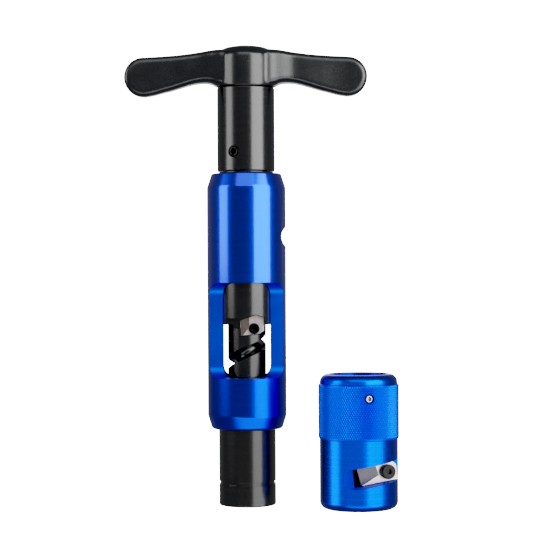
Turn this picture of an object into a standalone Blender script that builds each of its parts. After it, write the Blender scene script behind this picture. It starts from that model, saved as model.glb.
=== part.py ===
"""Hand tool that cores, strips and deburrs coaxial cable, with its detachable stripping sleeve.

Metres, +Z up. The origin is on the surface that both pieces stand on, under the middle of their box.
The T-handle, collar and spindle turn about the tool's axis; the sleeve stands on its own axis.
Angles around an axis are measured from +X towards +Y, so the front of the tool is at -90 degrees.
"""

import math

import bmesh
import bpy
from mathutils import Matrix, Vector

# Round pieces are faceted by these numbers of segments.
SEGMENTS = 48
HIDDEN_SEGMENTS = 32
SCREW_SEGMENTS = 20
ARC_STEPS = 3
GAP = 0.0003
MERGE = 0.00001

# T-handle: arms along X, hub on the tool's axis.
HANDLE_HALF = 0.0588
HUB_R = 0.0138
HUB_Z = 0.2015
HUB_SIDE_TOP_Z = 0.2194
HUB_TOP_Z = 0.2217
TIP_R = 0.00945
TIP_Z = 0.20645
ARM_HALF_THICKNESS = 0.0062
ARM_EDGE_R = 0.0028
HUB_BORE_TOP_Z = 0.2143

# Stud between the handle and the collar.
STUD_R = 0.0050
STUD_Z = (0.1850, 0.2140)

# Drive collar, clamped on the spindle's journal by two screws.
COLLAR_R = 0.01385
COLLAR_Z = (0.1610, 0.2012)
COLLAR_FLOOR_Z = 0.1843
COLLAR_SCREW_Z = 0.1700
COLLAR_SCREW_ANGLES = (-115, 65)
COLLAR_SCREW_R = 0.0025
COLLAR_SCREW_REACH = (0.0096, 0.0134)

# Spindle: journal, shoulder and fluted auger in one piece.
JOURNAL_R = 0.0090
JOURNAL_TOP_Z = 0.1840
SHOULDER_R = 0.0131
SHOULDER_Z = (0.0872, 0.1120)
AUGER_R = 0.00915
AUGER_TIP_Z = 0.0420
CORE_R = 0.0023
CORE_TOP_Z = 0.1000
FLUTE_PITCH = 0.0235
FLUTE_FRONT_Z = 0.0740
FLUTE_CENTRE_R = 0.0080
FLUTE_R = 0.0031
FLUTE_TURNS = (-1.55, 0.62)
FLUTE_POINTS_PER_TURN = 20

# Stripping blade, in a pocket that runs up into the shoulder.
BLADE_OUTLINE = ((-0.0028, 0.0817), (0.0062, 0.0829), (0.0083, 0.0842), (0.0083, 0.0905), (0.0045, 0.0918),
                 (-0.0030, 0.0892))
BLADE_SEAT_Y = -0.0062
BLADE_THICKNESS = 0.0018
BLADE_SCREW_AT = (0.0036, 0.0852)
BLADE_SCREW_HEAD_R = 0.0026
BLADE_SCREW_HEAD = 0.0011
BLADE_SCREW_R = 0.0013
BLADE_SCREW_END_Y = -0.0036

# Washers and bushes that the spindle turns in.
WASHER_THICKNESS = 0.0005
BUSH_LENGTH = 0.0120

# Housing, open at the front and the back.
HOUSING_R = 0.0190
HOUSING_Z = (0.0368, 0.1599)
HOUSING_BORE_R = 0.0134
HOUSING_TUBE_BORE_R = 0.0140
HOUSING_TUBE_BORE_TOP_Z = 0.0575
WINDOW_Z = (0.0616, 0.1073)
WINDOW_FLOOR_Y = 0.0070
WINDOW_END_R = 0.0063
NOTCH_R = 0.00635
NOTCH_AT = (0.02325, 0.1294)

# Guide tube with the groove that the sleeve's screws lock in.
TUBE_R = 0.0137
TUBE_BORE_R = 0.0107
TUBE_TOP_Z = 0.0572
GROOVE_Z = (0.0103, 0.0117)
GROOVE_DEPTH = 0.0006
TUBE_SCREW_Z = 0.0480
TUBE_SCREW_ANGLES = (45, 135)
TUBE_SCREW_REACH = (0.0140, 0.0182)
SMALL_SCREW_R = 0.0020

# Sleeve, beside the tool.
SLEEVE_OFFSET = (0.0531, -0.0160)
SLEEVE_R = 0.01855
SLEEVE_KNURL_R = 0.0191
SLEEVE_NECK_R = 0.0184
SLEEVE_KNURL_Z = (0.0332, 0.0593)
SLEEVE_HEIGHT = 0.0638
SLEEVE_TOP_ROUND = 0.0038
SLEEVE_BASE_ROUND = 0.0036
SLEEVE_BORE_R = 0.01075
SLEEVE_SOCKET_R = 0.0140
SLEEVE_SOCKET_DEPTH = 0.0220
SLEEVE_SCREW_Z = 0.0530
SLEEVE_SCREW_ANGLES = (-77, 103)
SLEEVE_SCREW_REACH = (0.0143, 0.0184)

# The sleeve's slot lies on a slanted plane: its angles around and against the axis, its place and its size.
SLOT_FACING = -73
SLOT_SLANT = 8.5
SLOT_FLOOR = 0.0089
SLOT_Z = 0.0167
SLOT_WIDTH = 0.0096

# The slot's end beside the bore is a ramp that rises to the sleeve's outside.
RAMP_END_U = -0.0125
RAMP_FOOT_U = -0.00595
RAMP_ANGLE = 36

# The sleeve's blade, and the shallow face ground on it behind its edge.
SLEEVE_BLADE_OUTLINE = ((-0.0029, -0.0045), (0.0152, -0.0045), (0.0152, 0.0026), (0.0135, 0.0045),
                        (-0.0040, 0.0045))
SLEEVE_BLADE_THICKNESS = 0.0016
SLEEVE_BLADE_SCREW_U = 0.0102
GRIND_TOP_U = 0.0057
GRIND_ANGLE = 7.5
GRIND_OUTLINE = ((-0.0007, 0.0060), (0.0002, -0.0010), (-0.0086, -0.0043), (-0.0130, -0.0043),
                 (-0.0130, 0.0060))
CAP_HEAD_R = 0.00345
CAP_HEAD = 0.0026

# The origin lies under the middle of the box around the tool and the sleeve.
TOOL_X = (HANDLE_HALF - SLEEVE_OFFSET[0] - SLEEVE_KNURL_R) / 2
TOOL_Y = (SLEEVE_KNURL_R - SLEEVE_OFFSET[1] - HOUSING_R) / 2
SLEEVE_X = TOOL_X + SLEEVE_OFFSET[0]
SLEEVE_Y = TOOL_Y + SLEEVE_OFFSET[1]

# Linear base colour, metallic and roughness of each material.
FINISHES = {
    "blue_anodised": ((0.004, 0.070, 0.560), 0.9, 0.30),
    "black_oxide": ((0.020, 0.020, 0.021), 0.8, 0.35),
    "black_moulding": ((0.011, 0.012, 0.014), 0.0, 0.35),
    "bronze": ((0.560, 0.340, 0.130), 1.0, 0.40),
    "steel": ((0.520, 0.520, 0.540), 1.0, 0.30),
    "black_screw": ((0.015, 0.015, 0.016), 0.7, 0.40),
    "blade_steel": ((0.620, 0.560, 0.530), 1.0, 0.28),
}


def clear_scene():
    for obj in list(bpy.data.objects):
        bpy.data.objects.remove(obj)


def make_collection(name):
    group = bpy.data.collections.new(name)
    bpy.context.scene.collection.children.link(group)
    return group


def make_material(name, colour, metallic, roughness):
    material = bpy.data.materials.new(name)
    material.use_nodes = True
    shader = material.node_tree.nodes["Principled BSDF"]
    shader.inputs["Base Color"].default_value = (*colour, 1)
    shader.inputs["Metallic"].default_value = metallic
    shader.inputs["Roughness"].default_value = roughness
    return material


def make_axis(name, x, y):
    """An empty on a vertical axis. The pieces around that axis are its children."""
    axis = bpy.data.objects.new(name, None)
    axis.empty_display_size = 0.02
    axis.location = (x, y, 0)
    PIECES.objects.link(axis)
    return axis


def add_piece(name, mesh, axis, finish=None):
    """A piece with a finish, or a cutter without one."""
    obj = bpy.data.objects.new(name, mesh)
    obj.parent = axis
    if finish:
        PIECES.objects.link(obj)
        mesh.materials.append(MATERIALS[finish])
    else:
        CUTTERS.objects.link(obj)
        obj.hide_render = True
        obj.display_type = "WIRE"
    return obj


def rounded(corners, steps=ARC_STEPS):
    """The closed outline through corners (a, b) or (a, b, radius), with an arc at each that has a radius."""
    points = []
    for index, corner in enumerate(corners):
        here = Vector(corner[:2])
        if len(corner) == 2:
            points.append(here)
            continue
        radius = corner[2]
        to_last = (Vector(corners[index - 1][:2]) - here).normalized()
        to_next = (Vector(corners[(index + 1) % len(corners)][:2]) - here).normalized()
        half = to_last.angle(to_next) / 2
        centre = here + (to_last + to_next).normalized() * radius / math.sin(half)
        start = here + to_last * radius / math.tan(half) - centre
        end = here + to_next * radius / math.tan(half) - centre
        points += [centre + radius * start.slerp(end, step / steps) for step in range(steps + 1)]
    return points


def turned(name, profile, axis, finish=None, segments=SEGMENTS, closed=True):
    """A turned solid. The profile (radius, z) runs down the outer side first."""
    count = len(profile)
    edges = [(index, (index + 1) % count) for index in range(count if closed else count - 1)]
    mesh = bpy.data.meshes.new(name)
    mesh.from_pydata([(radius, 0, z) for radius, z in profile], edges, [])
    obj = add_piece(name, mesh, axis, finish)
    screw = obj.modifiers.new("turn", "SCREW")
    screw.steps = screw.render_steps = segments
    screw.use_merge_vertices = True
    screw.merge_threshold = MERGE
    return obj


def ring(name, inner, outer, low, high, axis, finish, segments=HIDDEN_SEGMENTS):
    profile = [(outer, high), (outer, low), (inner, low), (inner, high)]
    return turned(name, profile, axis, finish, segments)


def curve_to_mesh(curve, name):
    """The mesh of a curve, with its caps welded on."""
    holder = bpy.data.objects.new(name, curve)
    CUTTERS.objects.link(holder)
    bpy.context.view_layer.update()
    graph = bpy.context.evaluated_depsgraph_get()
    mesh = bpy.data.meshes.new_from_object(holder.evaluated_get(graph))
    bpy.data.objects.remove(holder)
    shape = bmesh.new()
    shape.from_mesh(mesh)
    bmesh.ops.remove_doubles(shape, verts=shape.verts, dist=MERGE)
    bmesh.ops.recalc_face_normals(shape, faces=shape.faces)
    shape.to_mesh(mesh)
    shape.free()
    mesh.name = name
    return mesh


def plate(name, outline, low, high, frame, axis, finish=None, edge_r=0):
    """A flat outline in the frame's first two directions, from low to high along its third."""
    curve = bpy.data.curves.new(name, "CURVE")
    curve.dimensions = "2D"
    curve.fill_mode = "BOTH"
    curve.extrude = (high - low) / 2 - edge_r
    curve.bevel_depth = edge_r
    curve.bevel_resolution = 1
    curve.offset = -edge_r
    spline = curve.splines.new("POLY")
    spline.points.add(len(outline) - 1)
    spline.use_cyclic_u = True
    for point, (u, v) in zip(spline.points, outline):
        point.co = (u, v, 0, 1)
    mesh = curve_to_mesh(curve, name)
    mesh.transform(frame @ Matrix.Translation((0, 0, (low + high) / 2)))
    return add_piece(name, mesh, axis, finish)


def rod(name, radius, low, high, frame, axis, finish=None, segments=SCREW_SEGMENTS):
    """A cylinder from low to high along the frame's third direction."""
    shape = bmesh.new()
    bmesh.ops.create_cone(shape, cap_ends=True, segments=segments, radius1=radius, radius2=radius,
                          depth=high - low)
    mesh = bpy.data.meshes.new(name)
    shape.to_mesh(mesh)
    shape.free()
    mesh.transform(frame @ Matrix.Translation((0, 0, (low + high) / 2)))
    return add_piece(name, mesh, axis, finish)


def combine(obj, other, operation):
    modifier = obj.modifiers.new(other.name, "BOOLEAN")
    modifier.operation = operation
    modifier.object = other


def cut(obj, *cutters):
    for cutter in cutters:
        combine(obj, cutter, "DIFFERENCE")


def outward(angle, z):
    """A frame on the axis at height z, whose third direction points out at this angle."""
    turn = Matrix.Rotation(math.radians(angle), 4, "Z")
    return Matrix.Translation((0, 0, z)) @ turn @ Matrix.Rotation(math.pi / 2, 4, "Y")


def facing_front():
    """A frame whose directions are +X, +Z and -Y."""
    return Matrix.Rotation(math.pi / 2, 4, "X")


def slot_frame():
    """The sleeve's slot: along it, across it and out of it."""
    turn = Matrix.Rotation(math.radians(SLOT_FACING + 90), 4, "Z")
    slant = Matrix.Rotation(math.radians(SLOT_SLANT), 4, "Z")
    return Matrix.Translation((0, 0, SLOT_Z)) @ turn @ facing_front() @ slant


def tilted(frame, along, up, angle):
    """The frame moved along its first and third directions, and tilted about its second one."""
    return frame @ Matrix.Translation((along, 0, up)) @ Matrix.Rotation(math.radians(angle), 4, "Y")


def hex_recess(name, across, low, high, frame, axis):
    return rod(name, across / math.sqrt(3), low, high, frame, axis, segments=6)


def set_screw(name, radius, reach, frame, axis, finish):
    """A headless screw between the two distances of reach, and the hole that it sits in."""
    screw = rod(name, radius, *reach, frame, axis, finish)
    depth = reach[1] - 0.6 * (reach[1] - reach[0])
    cut(screw, hex_recess(name + "_hex", radius, depth, reach[1] + 0.001, frame, axis))
    hole = rod(name + "_hole", radius + GAP, reach[0] - 0.0006, reach[1] + 0.003, frame, axis)
    return screw, hole


def arm_outline():
    """The handle's front outline: a drooping arm with a round tip on each side of the hub."""
    top = [(0.0000, HUB_SIDE_TOP_Z), (0.0130, 0.2193), (0.0178, 0.2186), (0.0220, 0.2178), (0.0304, 0.2167),
           (0.0397, 0.2160)]
    under = [(0.0443, 0.1980), (0.0397, 0.1992), (0.0350, 0.2004), (0.0304, 0.2018), (0.0258, 0.2031),
             (0.0220, 0.2037), (0.0183, 0.2037), (0.0158, 0.2031), (0.0145, 0.2023), (0.0120, 0.2020)]
    tip_x = HANDLE_HALF - TIP_R
    turns = [math.radians(92 - 189 * step / 12) for step in range(13)]
    tip = [(tip_x + TIP_R * math.cos(turn), TIP_Z + TIP_R * math.sin(turn)) for turn in turns]
    right = top + tip + under
    left = [(-x, z) for x, z in reversed(right[1:])]
    return [(x, z - HUB_Z) for x, z in right + left]


def make_handle(axis):
    hub = [(0, HUB_TOP_Z), (0.0075, HUB_TOP_Z - 0.0004), (0.0115, HUB_TOP_Z - 0.0012),
           (0.0132, HUB_SIDE_TOP_Z - 0.0006), (HUB_R, HUB_SIDE_TOP_Z - 0.0030), (HUB_R, HUB_Z), (0, HUB_Z)]
    handle = turned("t_handle", hub, axis, "black_moulding", closed=False)
    frame = Matrix.Translation((0, 0, HUB_Z)) @ facing_front()
    arms = plate("handle_arms", arm_outline(), -ARM_HALF_THICKNESS, ARM_HALF_THICKNESS, frame, axis,
                 edge_r=ARM_EDGE_R)
    combine(handle, arms, "UNION")
    cut(handle, rod("stud_hole", STUD_R + GAP, HUB_Z - 0.002, HUB_BORE_TOP_Z, Matrix(), axis,
                    segments=HIDDEN_SEGMENTS))


def make_stud(axis):
    low, high = STUD_Z
    chamfer = 0.0008
    profile = [(0, high), (STUD_R - chamfer, high), (STUD_R, high - chamfer), (STUD_R, low + chamfer),
               (STUD_R - chamfer, low), (0, low)]
    turned("handle_stud", profile, axis, "steel", HIDDEN_SEGMENTS, closed=False)


def make_collar(axis):
    low, high = COLLAR_Z
    edge = 0.0004
    bore = JOURNAL_R + GAP
    profile = [(COLLAR_R - edge, high), (COLLAR_R, high - edge), (COLLAR_R, low + edge), (COLLAR_R - edge, low),
               (bore, low), (bore, COLLAR_FLOOR_Z), (STUD_R + GAP, COLLAR_FLOOR_Z), (STUD_R + GAP, high)]
    collar = turned("drive_collar", profile, axis, "black_oxide")
    for number, angle in enumerate(COLLAR_SCREW_ANGLES, 1):
        name = f"collar_set_screw_{number}"
        frame = outward(angle, COLLAR_SCREW_Z)
        _, hole = set_screw(name, COLLAR_SCREW_R, COLLAR_SCREW_REACH, frame, axis, "black_screw")
        cut(collar, hole)


def flute_cutter(axis):
    """A round bar along the auger's helix, from below its tip to the underside of the shoulder."""
    first, last = FLUTE_TURNS
    count = round((last - first) * FLUTE_POINTS_PER_TURN)
    curve = bpy.data.curves.new("flute", "CURVE")
    curve.dimensions = "3D"
    curve.bevel_depth = FLUTE_R
    curve.bevel_resolution = 2
    curve.use_fill_caps = True
    spline = curve.splines.new("POLY")
    spline.points.add(count)
    for index, point in enumerate(spline.points):
        turn = first + (last - first) * index / count
        angle = math.tau * (turn - 0.25)
        point.co = (FLUTE_CENTRE_R * math.cos(angle), FLUTE_CENTRE_R * math.sin(angle),
                    FLUTE_FRONT_Z + FLUTE_PITCH * turn, 1)
    return add_piece("flute", curve_to_mesh(curve, "flute"), axis)


def grown(outline, amount):
    """A convex outline with each side moved out by this amount."""
    points = [Vector(point) for point in outline]
    sides = []
    for index, point in enumerate(points):
        along = (points[(index + 1) % len(points)] - point).normalized()
        sides.append((point + Vector((along.y, -along.x)) * amount, along))
    corners = []
    for (start, along), (last_start, last_along) in zip(sides, [sides[-1]] + sides[:-1]):
        across = Vector((-last_along.y, last_along.x))
        corners.append(start + along * across.dot(last_start - start) / across.dot(along))
    return corners


def make_spindle(axis):
    low, high = SHOULDER_Z
    edge = 0.0004
    profile = [(0, JOURNAL_TOP_Z), (JOURNAL_R - edge, JOURNAL_TOP_Z), (JOURNAL_R, JOURNAL_TOP_Z - edge),
               (JOURNAL_R, high), (SHOULDER_R, high), (SHOULDER_R, low + edge), (SHOULDER_R - edge, low),
               (AUGER_R, low), (AUGER_R, AUGER_TIP_Z + edge), (AUGER_R - edge, AUGER_TIP_Z),
               (CORE_R, AUGER_TIP_Z), (CORE_R, CORE_TOP_Z), (0, CORE_TOP_Z + CORE_R / 2)]
    spindle = turned("spindle", profile, axis, "black_oxide", closed=False)
    front = facing_front()
    pocket = plate("blade_pocket", grown(BLADE_OUTLINE, GAP), -BLADE_SEAT_Y, 0.020, front, axis)
    gullet = plate("blade_gullet", [(-0.0100, 0.0852), (-0.0032, 0.0852), (-0.0032, 0.0892), (-0.0046, 0.0903),
                                    (-0.0100, 0.0903)], 0.0064, 0.020, front, axis)
    frame = Matrix.Translation((BLADE_SCREW_AT[0], 0, BLADE_SCREW_AT[1])) @ front
    hole = rod("blade_screw_hole", BLADE_SCREW_R + GAP, -BLADE_SCREW_END_Y - GAP, 0.0090, frame, axis)
    cut(spindle, flute_cutter(axis), pocket, gullet, hole)


def make_stripping_blade(axis):
    seat = -BLADE_SEAT_Y + GAP
    face = seat + BLADE_THICKNESS
    front = facing_front()
    blade = plate("stripping_blade", BLADE_OUTLINE, seat, face, front, axis, "blade_steel")
    frame = Matrix.Translation((BLADE_SCREW_AT[0], 0, BLADE_SCREW_AT[1])) @ front
    cut(blade, rod("blade_hole", BLADE_SCREW_R + GAP, seat - 0.001, face + 0.001, frame, axis))
    cap_screw("blade_screw", BLADE_SCREW_R, -BLADE_SCREW_END_Y, BLADE_SCREW_HEAD_R, face + GAP,
              BLADE_SCREW_HEAD, frame, axis)


def cap_screw(name, shank_r, tip, head_r, seat, head, frame, axis):
    """A screw with a flat round head and a hexagonal recess. It stands out along the frame's third direction."""
    top = seat + head
    edge = head * 0.15
    profile = [(0, top), (head_r - edge, top), (head_r, top - edge), (head_r, seat), (shank_r, seat),
               (shank_r, tip), (0, tip)]
    screw = turned(name, profile, axis, "black_screw", SCREW_SEGMENTS, closed=False)
    screw.matrix_local = frame
    cut(screw, hex_recess(name + "_hex", head_r * 0.72, top - 0.6 * head, top + 0.001, frame, axis))


def make_bearings(axis):
    """The bushes in the housing, and the washers that take the push and pull of the handle."""
    bore = JOURNAL_R + GAP
    outer = HOUSING_BORE_R - GAP
    shoulder_top = SHOULDER_Z[1]
    lower_washer = shoulder_top + GAP
    lower_bush = lower_washer + WASHER_THICKNESS + GAP
    upper_bush_top = HOUSING_Z[1] - GAP
    upper_washer = HOUSING_Z[1] + GAP
    ring("thrust_washer_lower", bore, outer, lower_washer, lower_washer + WASHER_THICKNESS, axis, "steel")
    ring("bush_lower", bore, outer, lower_bush, lower_bush + BUSH_LENGTH, axis, "bronze")
    ring("bush_upper", bore, outer, upper_bush_top - BUSH_LENGTH, upper_bush_top, axis, "bronze")
    ring("thrust_washer_upper", bore, outer, upper_washer, upper_washer + WASHER_THICKNESS, axis, "black_oxide")


def make_housing(axis):
    low, high = HOUSING_Z
    corners = [(0.0168, high, 0.0010), (HOUSING_R, 0.1532, 0.0040), (HOUSING_R, 0.0434, 0.0040),
               (0.0170, low, 0.0018), (HOUSING_TUBE_BORE_R, low), (HOUSING_TUBE_BORE_R, HOUSING_TUBE_BORE_TOP_Z),
               (HOUSING_BORE_R, HOUSING_TUBE_BORE_TOP_Z), (HOUSING_BORE_R, high)]
    housing = turned("housing", rounded(corners), axis, "blue_anodised")
    beyond = HOUSING_R + 0.006
    for side, angle in (("front", 0), ("back", 180)):
        window = rounded([(beyond, WINDOW_Z[0]), (beyond, WINDOW_Z[1]),
                          (WINDOW_FLOOR_Y, WINDOW_Z[1], WINDOW_END_R),
                          (WINDOW_FLOOR_Y, WINDOW_Z[0], WINDOW_END_R)], steps=6)
        turn = Matrix.Rotation(math.radians(angle - 90), 4, "Z") @ facing_front()
        cut(housing, plate("window_" + side, window, -beyond, beyond, turn, axis))
    notch = Matrix.Translation((NOTCH_AT[0], 0, NOTCH_AT[1])) @ facing_front()
    cut(housing, rod("side_notch", NOTCH_R, -beyond, beyond, notch, axis, segments=HIDDEN_SEGMENTS))
    for number, screw_angle in enumerate(TUBE_SCREW_ANGLES, 1):
        name = f"tube_set_screw_{number}"
        frame = outward(screw_angle, TUBE_SCREW_Z)
        _, hole = set_screw(name, SMALL_SCREW_R, TUBE_SCREW_REACH, frame, axis, "black_screw")
        cut(housing, hole)


def make_guide_tube(axis):
    edge = 0.0008
    low, high = GROOVE_Z
    profile = [(TUBE_R - edge, TUBE_TOP_Z), (TUBE_R, TUBE_TOP_Z - edge), (TUBE_R, high),
               (TUBE_R - GROOVE_DEPTH, high - GROOVE_DEPTH / 2), (TUBE_R - GROOVE_DEPTH, low + GROOVE_DEPTH / 2),
               (TUBE_R, low), (TUBE_R, edge), (TUBE_R - edge, 0), (TUBE_BORE_R + edge, 0), (TUBE_BORE_R, edge),
               (TUBE_BORE_R, TUBE_TOP_Z)]
    turned("guide_tube", profile, axis, "black_oxide")


def slot_end(half, beyond, axis):
    """The cutter for the slot's round end: its lower face is the ramp."""
    right = RAMP_FOOT_U + 0.0002
    outline = rounded([(RAMP_END_U, -half, half * 0.999), (right, -half), (right, half),
                       (RAMP_END_U, half, half * 0.999)], steps=6)
    end = plate("slot_end", outline, SLOT_FLOOR, beyond, slot_frame(), axis)
    below = [(-0.014, -0.007), (0.003, -0.007), (0.003, 0.007), (-0.014, 0.007)]
    cut(end, plate("below_ramp", below, -0.010, 0, tilted(slot_frame(), RAMP_FOOT_U, SLOT_FLOOR, RAMP_ANGLE), axis))
    return end


def make_sleeve(axis):
    knurl_low, knurl_high = SLEEVE_KNURL_Z
    edge = SLEEVE_KNURL_R - SLEEVE_R
    top = SLEEVE_HEIGHT
    socket_floor = top - SLEEVE_SOCKET_DEPTH
    corners = [(SLEEVE_NECK_R, top, SLEEVE_TOP_ROUND), (SLEEVE_NECK_R, knurl_high),
               (SLEEVE_KNURL_R, knurl_high - edge / 2), (SLEEVE_KNURL_R, knurl_low + edge), (SLEEVE_R, knurl_low),
               (SLEEVE_R, 0, SLEEVE_BASE_ROUND), (SLEEVE_BORE_R + edge, 0), (SLEEVE_BORE_R, edge),
               (SLEEVE_BORE_R, socket_floor), (SLEEVE_SOCKET_R, socket_floor), (SLEEVE_SOCKET_R, top)]
    sleeve = turned("sleeve", rounded(corners, steps=4), axis, "blue_anodised")
    for number, angle in enumerate(SLEEVE_SCREW_ANGLES, 1):
        name = f"sleeve_set_screw_{number}"
        frame = outward(angle, SLEEVE_SCREW_Z)
        _, hole = set_screw(name, SMALL_SCREW_R, SLEEVE_SCREW_REACH, frame, axis, "steel")
        cut(sleeve, hole)
    beyond = SLEEVE_R + 0.010
    half = SLOT_WIDTH / 2
    flat = [(RAMP_FOOT_U, -half), (beyond, -half), (beyond, half), (RAMP_FOOT_U, half)]
    cut(sleeve, plate("sleeve_slot", flat, SLOT_FLOOR, beyond, slot_frame(), axis))
    cut(sleeve, slot_end(half, beyond, axis))
    hole_frame = slot_frame() @ Matrix.Translation((SLEEVE_BLADE_SCREW_U, 0, 0))
    cut(sleeve, rod("sleeve_blade_screw_hole", SMALL_SCREW_R + GAP, SLOT_FLOOR - 0.0012, SLOT_FLOOR + 0.001,
                    hole_frame, axis))


def make_sleeve_blade(axis):
    frame = slot_frame()
    seat = SLOT_FLOOR + GAP
    face = seat + SLEEVE_BLADE_THICKNESS
    blade = plate("sleeve_blade", SLEEVE_BLADE_OUTLINE, seat, face, frame, axis, "blade_steel")
    screw_frame = frame @ Matrix.Translation((SLEEVE_BLADE_SCREW_U, 0, 0))
    cut(blade, rod("sleeve_blade_hole", SMALL_SCREW_R + GAP, seat - 0.001, face + 0.001, screw_frame, axis))
    grind_frame = tilted(frame, GRIND_TOP_U, face, -GRIND_ANGLE)
    cut(blade, plate("sleeve_blade_grind", GRIND_OUTLINE, 0, 0.004, grind_frame, axis))
    cap_screw("sleeve_blade_screw", SMALL_SCREW_R, SLOT_FLOOR - 0.0009, CAP_HEAD_R, face + GAP, CAP_HEAD,
              screw_frame, axis)


def shade(obj):
    """Replaces a piece's modifiers by their result, smooth but for its sharp edges."""
    graph = bpy.context.evaluated_depsgraph_get()
    mesh = bpy.data.meshes.new_from_object(obj.evaluated_get(graph))
    mesh.shade_smooth()
    mesh.set_sharp_from_angle(angle=math.radians(35))
    mesh.name = obj.name
    return mesh


def settle_pieces():
    """All the results are worked out before any piece changes, because pieces cut each other."""
    bpy.context.view_layer.update()
    pieces = [obj for obj in PIECES.objects if obj.type == "MESH"]
    meshes = [shade(obj) for obj in pieces]
    for obj, mesh in zip(pieces, meshes):
        obj.modifiers.clear()
        obj.data = mesh


clear_scene()
PIECES = make_collection("coring_tool")
CUTTERS = make_collection("cutters")
MATERIALS = {name: make_material(name, *finish) for name, finish in FINISHES.items()}

tool_axis = make_axis("tool_axis", TOOL_X, TOOL_Y)
sleeve_axis = make_axis("sleeve_axis", SLEEVE_X, SLEEVE_Y)

make_housing(tool_axis)
make_guide_tube(tool_axis)
make_bearings(tool_axis)
make_spindle(tool_axis)
make_stripping_blade(tool_axis)
make_collar(tool_axis)
make_stud(tool_axis)
make_handle(tool_axis)
make_sleeve(sleeve_axis)
make_sleeve_blade(sleeve_axis)
settle_pieces()
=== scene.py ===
import math

import bmesh
import bpy
import numpy as np
from mathutils import Matrix, Vector


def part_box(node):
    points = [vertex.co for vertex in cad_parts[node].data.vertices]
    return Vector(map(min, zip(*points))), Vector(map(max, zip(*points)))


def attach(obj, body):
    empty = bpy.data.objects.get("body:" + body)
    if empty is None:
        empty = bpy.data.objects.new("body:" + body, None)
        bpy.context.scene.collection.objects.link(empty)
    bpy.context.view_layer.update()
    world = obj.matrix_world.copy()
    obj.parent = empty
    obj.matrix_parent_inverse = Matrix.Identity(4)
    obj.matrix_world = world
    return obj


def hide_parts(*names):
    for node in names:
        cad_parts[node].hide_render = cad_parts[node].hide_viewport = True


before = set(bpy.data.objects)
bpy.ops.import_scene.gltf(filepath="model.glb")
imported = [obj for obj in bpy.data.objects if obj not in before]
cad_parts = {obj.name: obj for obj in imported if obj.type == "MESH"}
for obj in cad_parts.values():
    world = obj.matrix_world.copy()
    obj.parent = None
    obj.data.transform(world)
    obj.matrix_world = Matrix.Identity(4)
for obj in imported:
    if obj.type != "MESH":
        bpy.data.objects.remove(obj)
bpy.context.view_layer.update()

# Places read from the frame: both axes, and the boxes of the main pieces.
HOUSING_LOW, HOUSING_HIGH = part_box("housing")
TUBE_LOW, TUBE_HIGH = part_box("guide_tube")
COLLAR_LOW, COLLAR_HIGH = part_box("drive_collar")
HANDLE_LOW, HANDLE_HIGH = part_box("t_handle")
SPINDLE_LOW, SPINDLE_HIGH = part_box("spindle")
WASHER_LOW, WASHER_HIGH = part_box("thrust_washer_upper")
SLEEVE_LOW, SLEEVE_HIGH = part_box("sleeve")


def centre_of(low, high):
    return Vector(((low.x + high.x) / 2, (low.y + high.y) / 2, 0))


def radius_of(low, high):
    return (high.x - low.x) / 2


TOOL = centre_of(TUBE_LOW, TUBE_HIGH)
SLEEVE = centre_of(SLEEVE_LOW, SLEEVE_HIGH)

# Facets around round pieces, and steps in a rounded corner. Neighbouring pieces keep the frame's gap.
SEGMENTS = 176
SCREW_SEGMENTS = 40
HEAD_SEGMENTS = 64
ARC_STEPS = 5
GAP = 0.0003
TINY = 0.000002

# Housing: windows and notch, measured from its lower end.
HOUSING_R = radius_of(HOUSING_LOW, HOUSING_HIGH)
HOUSING_BORE_R = 0.0134
HOUSING_TUBE_BORE_R = 0.0140
HOUSING_TOP_FACE_R = 0.0168
HOUSING_BASE_FACE_R = 0.0170
HOUSING_TOP_TAPER = 0.0067
HOUSING_BASE_TAPER = 0.0066
HOUSING_CUTTER_R = HOUSING_R + 0.006
WINDOW_Z = (HOUSING_LOW.z + 0.0248, HOUSING_LOW.z + 0.0705)
WINDOW_FLOOR_Y = 0.0070
WINDOW_END_R = 0.0063
NOTCH_R = 0.00635
NOTCH_AT = (0.02325, HOUSING_LOW.z + 0.0926)

# Guide tube.
TUBE_R = radius_of(TUBE_LOW, TUBE_HIGH)
TUBE_BORE_R = 0.0107
GROOVE_Z = (0.0103, 0.0117)
GROOVE_DEPTH = 0.0006

# Collar and the bore for the handle's stud.
COLLAR_R = radius_of(COLLAR_LOW, COLLAR_HIGH)
STUD_BORE_R = 0.0053
STUD_BORE_TOP_Z = 0.2143

# Spindle and auger, with the hollow up its middle. The flute is cut by a round bar on a helix, which crosses
# the front at FLUTE_FRONT_Z and runs from the first to the second number of turns from there.
SHOULDER_R = radius_of(SPINDLE_LOW, SPINDLE_HIGH)
SHOULDER_Z = (SPINDLE_LOW.z + 0.0452, SPINDLE_LOW.z + 0.0700)
JOURNAL_R = 0.0090
AUGER_R = 0.00915
CORE_R = 0.0023
CORE_TOP_Z = 0.1000
FLUTE_PITCH = 0.0235
FLUTE_FRONT_Z = 0.0740
FLUTE_CENTRE_R = 0.0080
FLUTE_R = 0.0031
FLUTE_TURNS = (-1.55, 0.62)
FLUTE_STEPS_PER_TURN = 48

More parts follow.
